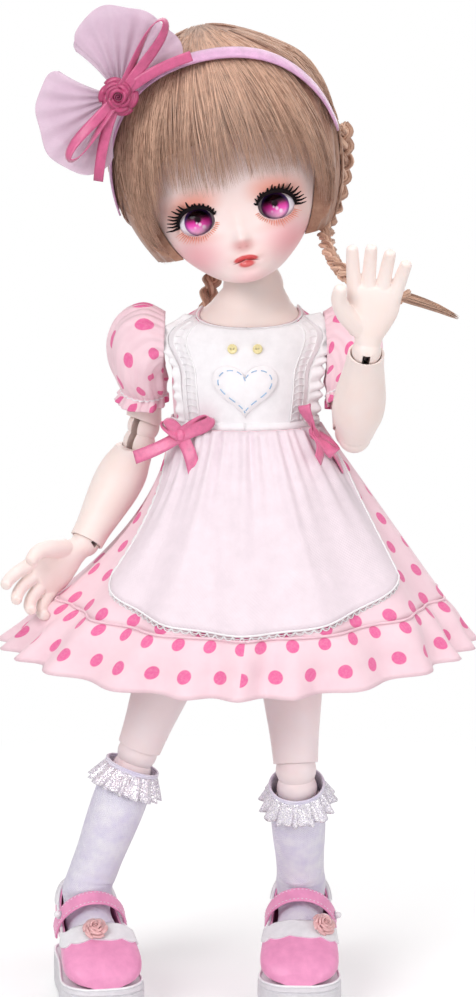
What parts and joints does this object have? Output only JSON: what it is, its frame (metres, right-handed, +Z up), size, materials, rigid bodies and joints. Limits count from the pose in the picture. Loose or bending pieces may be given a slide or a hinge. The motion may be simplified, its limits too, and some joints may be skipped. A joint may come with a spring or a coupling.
{
  "type": "ball jointed doll",
  "caption": "Standing strung resin doll with ball joints, mohair wig, polka dot dress, apron, socks and strap shoes; it poses by hand and holds its pose",
  "frame": {"origin": "centre of the bounding box at floor level, between the shoes", "axes": "+Z up, the doll faces -Y, +X is the doll's own left, which is the picture's right"},
  "size_m": [0.1424, 0.1074, 0.2886],
  "materials": {
    "white_apron_cotton": "thin voile",
    "white_elastic": "cloth-covered elastic",
    "pink_dot_cotton": "fine cotton with printed dots",
    "magenta_eye": "glossy, opaque behind",
    "porcelain_resin": "matte, porcelain-like, slight blush",
    "orchid_satin": "satin ribbon",
    "hook_steel": "bright bent wire",
    "light_brown_mohair": "brushed mohair",
    "pale_sole_rubber": "smooth",
    "pink_shoe_leather": "smooth satin",
    "white_sock_knit": "fine knit",
    "pink_satin": "satin ribbon",
    "rose_satin": "satin ribbon",
    "lilac_tulle": "stiff net"
  },
  "bodies": {
    "torso": {"torso": "porcelain_resin", "body_string": "white_elastic", "arm_string": "white_elastic", "dress_bodice": "pink_dot_cotton", "dress_skirt": "pink_dot_cotton", "dress_flounce": "pink_dot_cotton", "apron_bib": "white_apron_cotton", "apron_skirt": "white_apron_cotton", "right_waist_bow": "pink_satin", "left_waist_bow": "pink_satin"},
    "neck_link": {"neck_string": "white_elastic"},
    "neck_hook_body": {"neck_hook": "hook_steel"},
    "head": {"head_shell": "porcelain_resin", "head_cap": "porcelain_resin", "eye_right": "magenta_eye", "eye_left": "magenta_eye", "wig": "light_brown_mohair", "right_braid": "light_brown_mohair", "left_braid": "light_brown_mohair", "headband": "orchid_satin", "tulle_bow": "lilac_tulle", "ribbon_bow": "rose_satin"},
    "right_shoulder_a": {"right_shoulder_strand_a": "white_elastic"},
    "right_shoulder_b": {"right_shoulder_strand_b": "white_elastic", "right_sleeve": "pink_dot_cotton"},
    "right_upper_arm": {"right_upper_arm": "porcelain_resin"},
    "right_elbow": {"right_elbow_ball": "porcelain_resin"},
    "right_forearm": {"right_forearm": "porcelain_resin"},
    "right_wrist": {"right_wrist_hook": "hook_steel"},
    "right_hand": {"right_hand": "porcelain_resin"},
    "right_hip_a": {"right_hip_strand_a": "white_elastic"},
    "right_hip_b": {"right_hip_strand_b": "white_elastic"},
    "right_thigh": {"right_thigh": "porcelain_resin"},
    "right_knee": {"right_knee_ball": "porcelain_resin"},
    "right_shin": {"right_shin": "porcelain_resin", "right_sock": "white_sock_knit"},
    "right_ankle": {"right_ankle_hook": "hook_steel"},
    "right_foot": {"right_foot": "porcelain_resin", "right_shoe_sole": "pale_sole_rubber", "right_shoe_upper": "pink_shoe_leather", "right_shoe_strap": "pink_shoe_leather"},
    "left_shoulder_a": {"left_shoulder_strand_a": "white_elastic"},
    "left_shoulder_b": {"left_shoulder_strand_b": "white_elastic", "left_sleeve": "pink_dot_cotton"},
    "left_upper_arm": {"left_upper_arm": "porcelain_resin"},
    "left_elbow": {"left_elbow_ball": "porcelain_resin"},
    "left_forearm": {"left_forearm": "porcelain_resin"},
    "left_wrist": {"left_wrist_hook": "hook_steel"},
    "left_hand": {"left_hand": "porcelain_resin"},
    "left_hip_a": {"left_hip_strand_a": "white_elastic"},
    "left_hip_b": {"left_hip_strand_b": "white_elastic"},
    "left_thigh": {"left_thigh": "porcelain_resin"},
    "left_knee": {"left_knee_ball": "porcelain_resin"},
    "left_shin": {"left_shin": "porcelain_resin", "left_sock": "white_sock_knit"},
    "left_ankle": {"left_ankle_hook": "hook_steel"},
    "left_foot": {"left_foot": "porcelain_resin", "left_shoe_sole": "pale_sole_rubber", "left_shoe_upper": "pink_shoe_leather", "left_shoe_strap": "pink_shoe_leather"}
  },
  "joints": [
    {"name": "neck_turn", "type": "hinge", "parent": "torso", "child": "neck_link", "pos_m": [0.0046, 0.002, 0.21298], "axis": [0, 0, 1], "range_deg": [-40, 40], "deforming": ["left_braid", "right_braid"]},
    {"name": "neck_tilt", "type": "hinge", "parent": "neck_link", "child": "neck_hook_body", "pos_m": [0.0046, 0.002, 0.21298], "axis": [0, -1, 0], "range_deg": [-20, 6], "deforming": ["left_braid", "right_braid"]},
    {"name": "neck_nod", "type": "hinge", "parent": "neck_hook_body", "child": "head", "pos_m": [0.0046, 0.002, 0.21298], "axis": [-0.9781, 0, -0.2079], "range_deg": [-10, 10], "deforming": ["left_braid", "right_braid"]},
    {"name": "right_shoulder_swing", "type": "hinge", "parent": "torso", "child": "right_shoulder_a", "pos_m": [-0.0267, 0, 0.19798], "axis": [-1, 0, 0], "range_deg": [-35, 80], "deforming": ["dress_bodice", "dress_skirt", "dress_flounce", "apron_skirt", "apron_bib", "right_waist_bow", "left_waist_bow", "right_sleeve", "left_braid", "right_braid"]},
    {"name": "right_shoulder_spread", "type": "hinge", "parent": "right_shoulder_a", "child": "right_shoulder_b", "pos_m": [-0.0267, 0, 0.19798], "axis": [0, 0.9511, 0.309], "range_deg": [-3, 60], "deforming": ["dress_bodice", "dress_skirt", "dress_flounce", "apron_skirt", "apron_bib", "right_waist_bow", "left_waist_bow", "right_sleeve", "left_braid", "right_braid"]},
    {"name": "right_shoulder_twist", "type": "hinge", "parent": "right_shoulder_b", "child": "right_upper_arm", "pos_m": [-0.0267, 0, 0.19798], "axis": [-0.0471, 0.3087, -0.95], "range_deg": [-30, 50], "deforming": ["dress_bodice", "dress_skirt", "dress_flounce", "apron_skirt", "apron_bib", "right_waist_bow", "left_waist_bow", "right_sleeve", "left_braid", "right_braid"]},
    {"name": "right_elbow_upper", "type": "hinge", "parent": "right_upper_arm", "child": "right_elbow", "pos_m": [-0.02804, 0.0088, 0.1709], "axis": [-0.8081, 0.5472, 0.2179], "range_deg": [-22, 38], "deforming": ["dress_bodice", "dress_skirt", "dress_flounce", "apron_skirt", "apron_bib", "right_waist_bow", "left_waist_bow", "right_sleeve", "left_braid", "right_braid"]},
    {"name": "right_elbow_lower", "type": "hinge", "parent": "right_elbow", "child": "right_forearm", "pos_m": [-0.02941, 0.0087, 0.16609], "axis": [-0.8081, 0.5472, 0.2179], "range_deg": [-22, 38], "deforming": ["dress_bodice", "dress_skirt", "dress_flounce", "apron_skirt", "apron_bib", "right_waist_bow", "left_waist_bow", "right_sleeve", "left_braid", "right_braid"]},
    {"name": "right_wrist_twist", "type": "hinge", "parent": "right_forearm", "child": "right_wrist", "pos_m": [-0.04511, -0.00321, 0.13778], "axis": [-0.4551, -0.3452, -0.8208], "range_deg": [-60, 60], "deforming": ["dress_bodice", "dress_skirt", "dress_flounce", "apron_skirt", "apron_bib", "right_waist_bow", "left_waist_bow", "right_sleeve", "left_braid", "right_braid"]},
    {"name": "right_wrist_bend", "type": "hinge", "parent": "right_wrist", "child": "right_hand", "pos_m": [-0.04511, -0.00321, 0.13778], "axis": [-0.4344, -0.3578, 0.8266], "range_deg": [-30, 30], "deforming": ["dress_bodice", "dress_skirt", "dress_flounce", "apron_skirt", "apron_bib", "right_waist_bow", "left_waist_bow", "right_sleeve", "left_braid", "right_braid"]},
    {"name": "right_hip_spread", "type": "hinge", "parent": "torso", "child": "right_hip_a", "pos_m": [-0.0104, 0, 0.12678], "axis": [0, 1, 0], "range_deg": [-12, 10], "deforming": ["dress_bodice", "dress_skirt", "dress_flounce", "apron_skirt", "apron_bib", "right_waist_bow", "left_waist_bow", "right_sock"]},
    {"name": "right_hip_swing", "type": "hinge", "parent": "right_hip_a", "child": "right_hip_b", "pos_m": [-0.0104, 0, 0.12678], "axis": [-0.9384, 0, 0.3455], "range_deg": [-15, 30], "deforming": ["dress_bodice", "dress_skirt", "dress_flounce", "apron_skirt", "apron_bib", "right_waist_bow", "left_waist_bow", "right_sock"]},
    {"name": "right_hip_twist", "type": "hinge", "parent": "right_hip_b", "child": "right_thigh", "pos_m": [-0.0104, 0, 0.12678], "axis": [-0.3455, -0.0001, -0.9384], "range_deg": [-25, 25], "deforming": ["dress_bodice", "dress_skirt", "dress_flounce", "apron_skirt", "apron_bib", "right_waist_bow", "left_waist_bow", "right_sock"]},
    {"name": "right_knee_upper", "type": "hinge", "parent": "right_thigh", "child": "right_knee", "pos_m": [-0.0301, -0.00001, 0.07329], "axis": [0.9384, 0, -0.3455], "range_deg": [0, 50], "deforming": ["dress_bodice", "dress_skirt", "dress_flounce", "apron_skirt", "apron_bib", "right_waist_bow", "left_waist_bow", "right_sock"]},
    {"name": "right_knee_lower", "type": "hinge", "parent": "right_knee", "child": "right_shin", "pos_m": [-0.03217, -0.00001, 0.06766], "axis": [0.9384, 0, -0.3455], "range_deg": [0, 50], "deforming": ["dress_bodice", "dress_skirt", "dress_flounce", "apron_skirt", "apron_bib", "right_waist_bow", "left_waist_bow", "right_sock"]},
    {"name": "right_ankle_twist", "type": "hinge", "parent": "right_shin", "child": "right_ankle", "pos_m": [-0.0453, 0, 0.032], "axis": [-0.3455, 0.0002, -0.9384], "range_deg": [-20, 20], "deforming": ["dress_bodice", "dress_skirt", "dress_flounce", "apron_skirt", "apron_bib", "right_waist_bow", "left_waist_bow", "right_sock"]},
    {"name": "right_ankle_bend", "type": "hinge", "parent": "right_ankle", "child": "right_foot", "pos_m": [-0.0453, 0, 0.032], "axis": [-0.9781, -0.2079, 0], "range_deg": [-20, 20], "deforming": ["dress_bodice", "dress_skirt", "dress_flounce", "apron_skirt", "apron_bib", "right_waist_bow", "left_waist_bow", "right_sock"]},
    {"name": "left_shoulder_swing", "type": "hinge", "parent": "torso", "child": "left_shoulder_a", "pos_m": [0.0309, 0, 0.19798], "axis": [-1, 0, 0], "range_deg": [-50, 30], "deforming": ["dress_bodice", "dress_skirt", "dress_flounce", "apron_skirt", "apron_bib", "right_waist_bow", "left_waist_bow", "left_sleeve", "left_braid", "right_braid"]},
    {"name": "left_shoulder_spread", "type": "hinge", "parent": "left_shoulder_a", "child": "left_shoulder_b", "pos_m": [0.0309, 0, 0.19798], "axis": [0, -0.9135, 0.4067], "range_deg": [-3, 60], "deforming": ["dress_bodice", "dress_skirt", "dress_flounce", "apron_skirt", "apron_bib", "right_waist_bow", "left_waist_bow", "left_sleeve", "left_braid", "right_braid"]},
    {"name": "left_shoulder_twist", "type": "hinge", "parent": "left_shoulder_b", "child": "left_upper_arm", "pos_m": [0.0309, 0, 0.19798], "axis": [-0.0785, 0.4055, 0.9107], "range_deg": [-40, 50], "deforming": ["dress_bodice", "dress_skirt", "dress_flounce", "apron_skirt", "apron_bib", "right_waist_bow", "left_waist_bow", "left_sleeve", "left_braid", "right_braid"]},
    {"name": "left_elbow_upper", "type": "hinge", "parent": "left_upper_arm", "child": "left_elbow", "pos_m": [0.03314, -0.01156, 0.17202], "axis": [-0.9895, -0.143, -0.0216], "range_deg": [-58, 2], "deforming": ["dress_bodice", "dress_skirt", "dress_flounce", "apron_skirt", "apron_bib", "right_waist_bow", "left_waist_bow", "left_sleeve", "left_braid", "right_braid"]},
    {"name": "left_elbow_lower", "type": "hinge", "parent": "left_elbow", "child": "left_forearm", "pos_m": [0.03386, -0.01647, 0.17144], "axis": [-0.9895, -0.143, -0.0216], "range_deg": [-58, 2], "deforming": ["dress_bodice", "dress_skirt", "dress_flounce", "apron_skirt", "apron_bib", "right_waist_bow", "left_waist_bow", "left_sleeve", "left_braid", "right_braid"]},
    {"name": "left_wrist_twist", "type": "hinge", "parent": "left_forearm", "child": "left_wrist", "pos_m": [0.03629, -0.03741, 0.19876], "axis": [-0.0704, 0.6068, -0.7917], "range_deg": [-60, 60], "deforming": ["dress_bodice", "dress_skirt", "dress_flounce", "apron_skirt", "apron_bib", "right_waist_bow", "left_waist_bow", "left_sleeve", "left_braid", "right_braid"]},
    {"name": "left_wrist_bend", "type": "hinge", "parent": "left_wrist", "child": "left_hand", "pos_m": [0.03629, -0.03741, 0.19876], "axis": [0.9927, 0.012, -0.12], "range_deg": [-15, 18], "deforming": ["dress_bodice", "dress_skirt", "dress_flounce", "apron_skirt", "apron_bib", "right_waist_bow", "left_waist_bow", "left_sleeve", "left_braid", "right_braid"]},
    {"name": "left_hip_spread", "type": "hinge", "parent": "torso", "child": "left_hip_a", "pos_m": [0.0146, 0, 0.12678], "axis": [0, -1, 0], "range_deg": [-3, 20], "deforming": ["dress_bodice", "dress_skirt", "dress_flounce", "apron_skirt", "apron_bib", "right_waist_bow", "left_waist_bow", "left_sock"]},
    {"name": "left_hip_swing", "type": "hinge", "parent": "left_hip_a", "child": "left_hip_b", "pos_m": [0.0146, 0, 0.12678], "axis": [-0.9988, 0, -0.0485], "range_deg": [-20, 25], "deforming": ["dress_bodice", "dress_skirt", "dress_flounce", "apron_skirt", "apron_bib", "right_waist_bow", "left_waist_bow", "left_sock"]},
    {"name": "left_hip_twist", "type": "hinge", "parent": "left_hip_b", "child": "left_thigh", "pos_m": [0.0146, 0, 0.12678], "axis": [-0.0469, 0.2545, 0.9659], "range_deg": [-25, 25], "deforming": ["dress_bodice", "dress_skirt", "dress_flounce", "apron_skirt", "apron_bib", "right_waist_bow", "left_waist_bow", "left_sock"]},
    {"name": "left_knee_upper", "type": "hinge", "parent": "left_thigh", "child": "left_knee", "pos_m": [0.01727, -0.01451, 0.07172], "axis": [0.9988, 0, 0.0485], "range_deg": [-16, 40], "deforming": ["dress_bodice", "dress_skirt", "dress_flounce", "apron_skirt", "apron_bib", "right_waist_bow", "left_waist_bow", "left_sock"]},
    {"name": "left_knee_lower", "type": "hinge", "parent": "left_knee", "child": "left_shin", "pos_m": [0.01756, -0.01386, 0.06576], "axis": [0.9988, 0, 0.0485], "range_deg": [-16, 40], "deforming": ["dress_bodice", "dress_skirt", "dress_flounce", "apron_skirt", "apron_bib", "right_waist_bow", "left_waist_bow", "left_sock"]},
    {"name": "left_ankle_twist", "type": "hinge", "parent": "left_shin", "child": "left_ankle", "pos_m": [0.0192, 0.0035, 0.032], "axis": [-0.0431, -0.4568, 0.8885], "range_deg": [-20, 20], "deforming": ["dress_bodice", "dress_skirt", "dress_flounce", "apron_skirt", "apron_bib", "right_waist_bow", "left_waist_bow", "left_sock"]},
    {"name": "left_ankle_bend", "type": "hinge", "parent": "left_ankle", "child": "left_foot", "pos_m": [0.0192, 0.0035, 0.032], "axis": [-0.9994, 0.0349, 0], "range_deg": [-20, 4], "deforming": ["dress_bodice", "dress_skirt", "dress_flounce", "apron_skirt", "apron_bib", "right_waist_bow", "left_waist_bow", "left_sock"]}
  ],
  "couplings": [
    {"joint": "right_elbow_lower", "follows": "right_elbow_upper", "ratio": 1},
    {"joint": "right_knee_lower", "follows": "right_knee_upper", "ratio": 1},
    {"joint": "left_elbow_lower", "follows": "left_elbow_upper", "ratio": 1},
    {"joint": "left_knee_lower", "follows": "left_knee_upper", "ratio": 1}
  ]
}
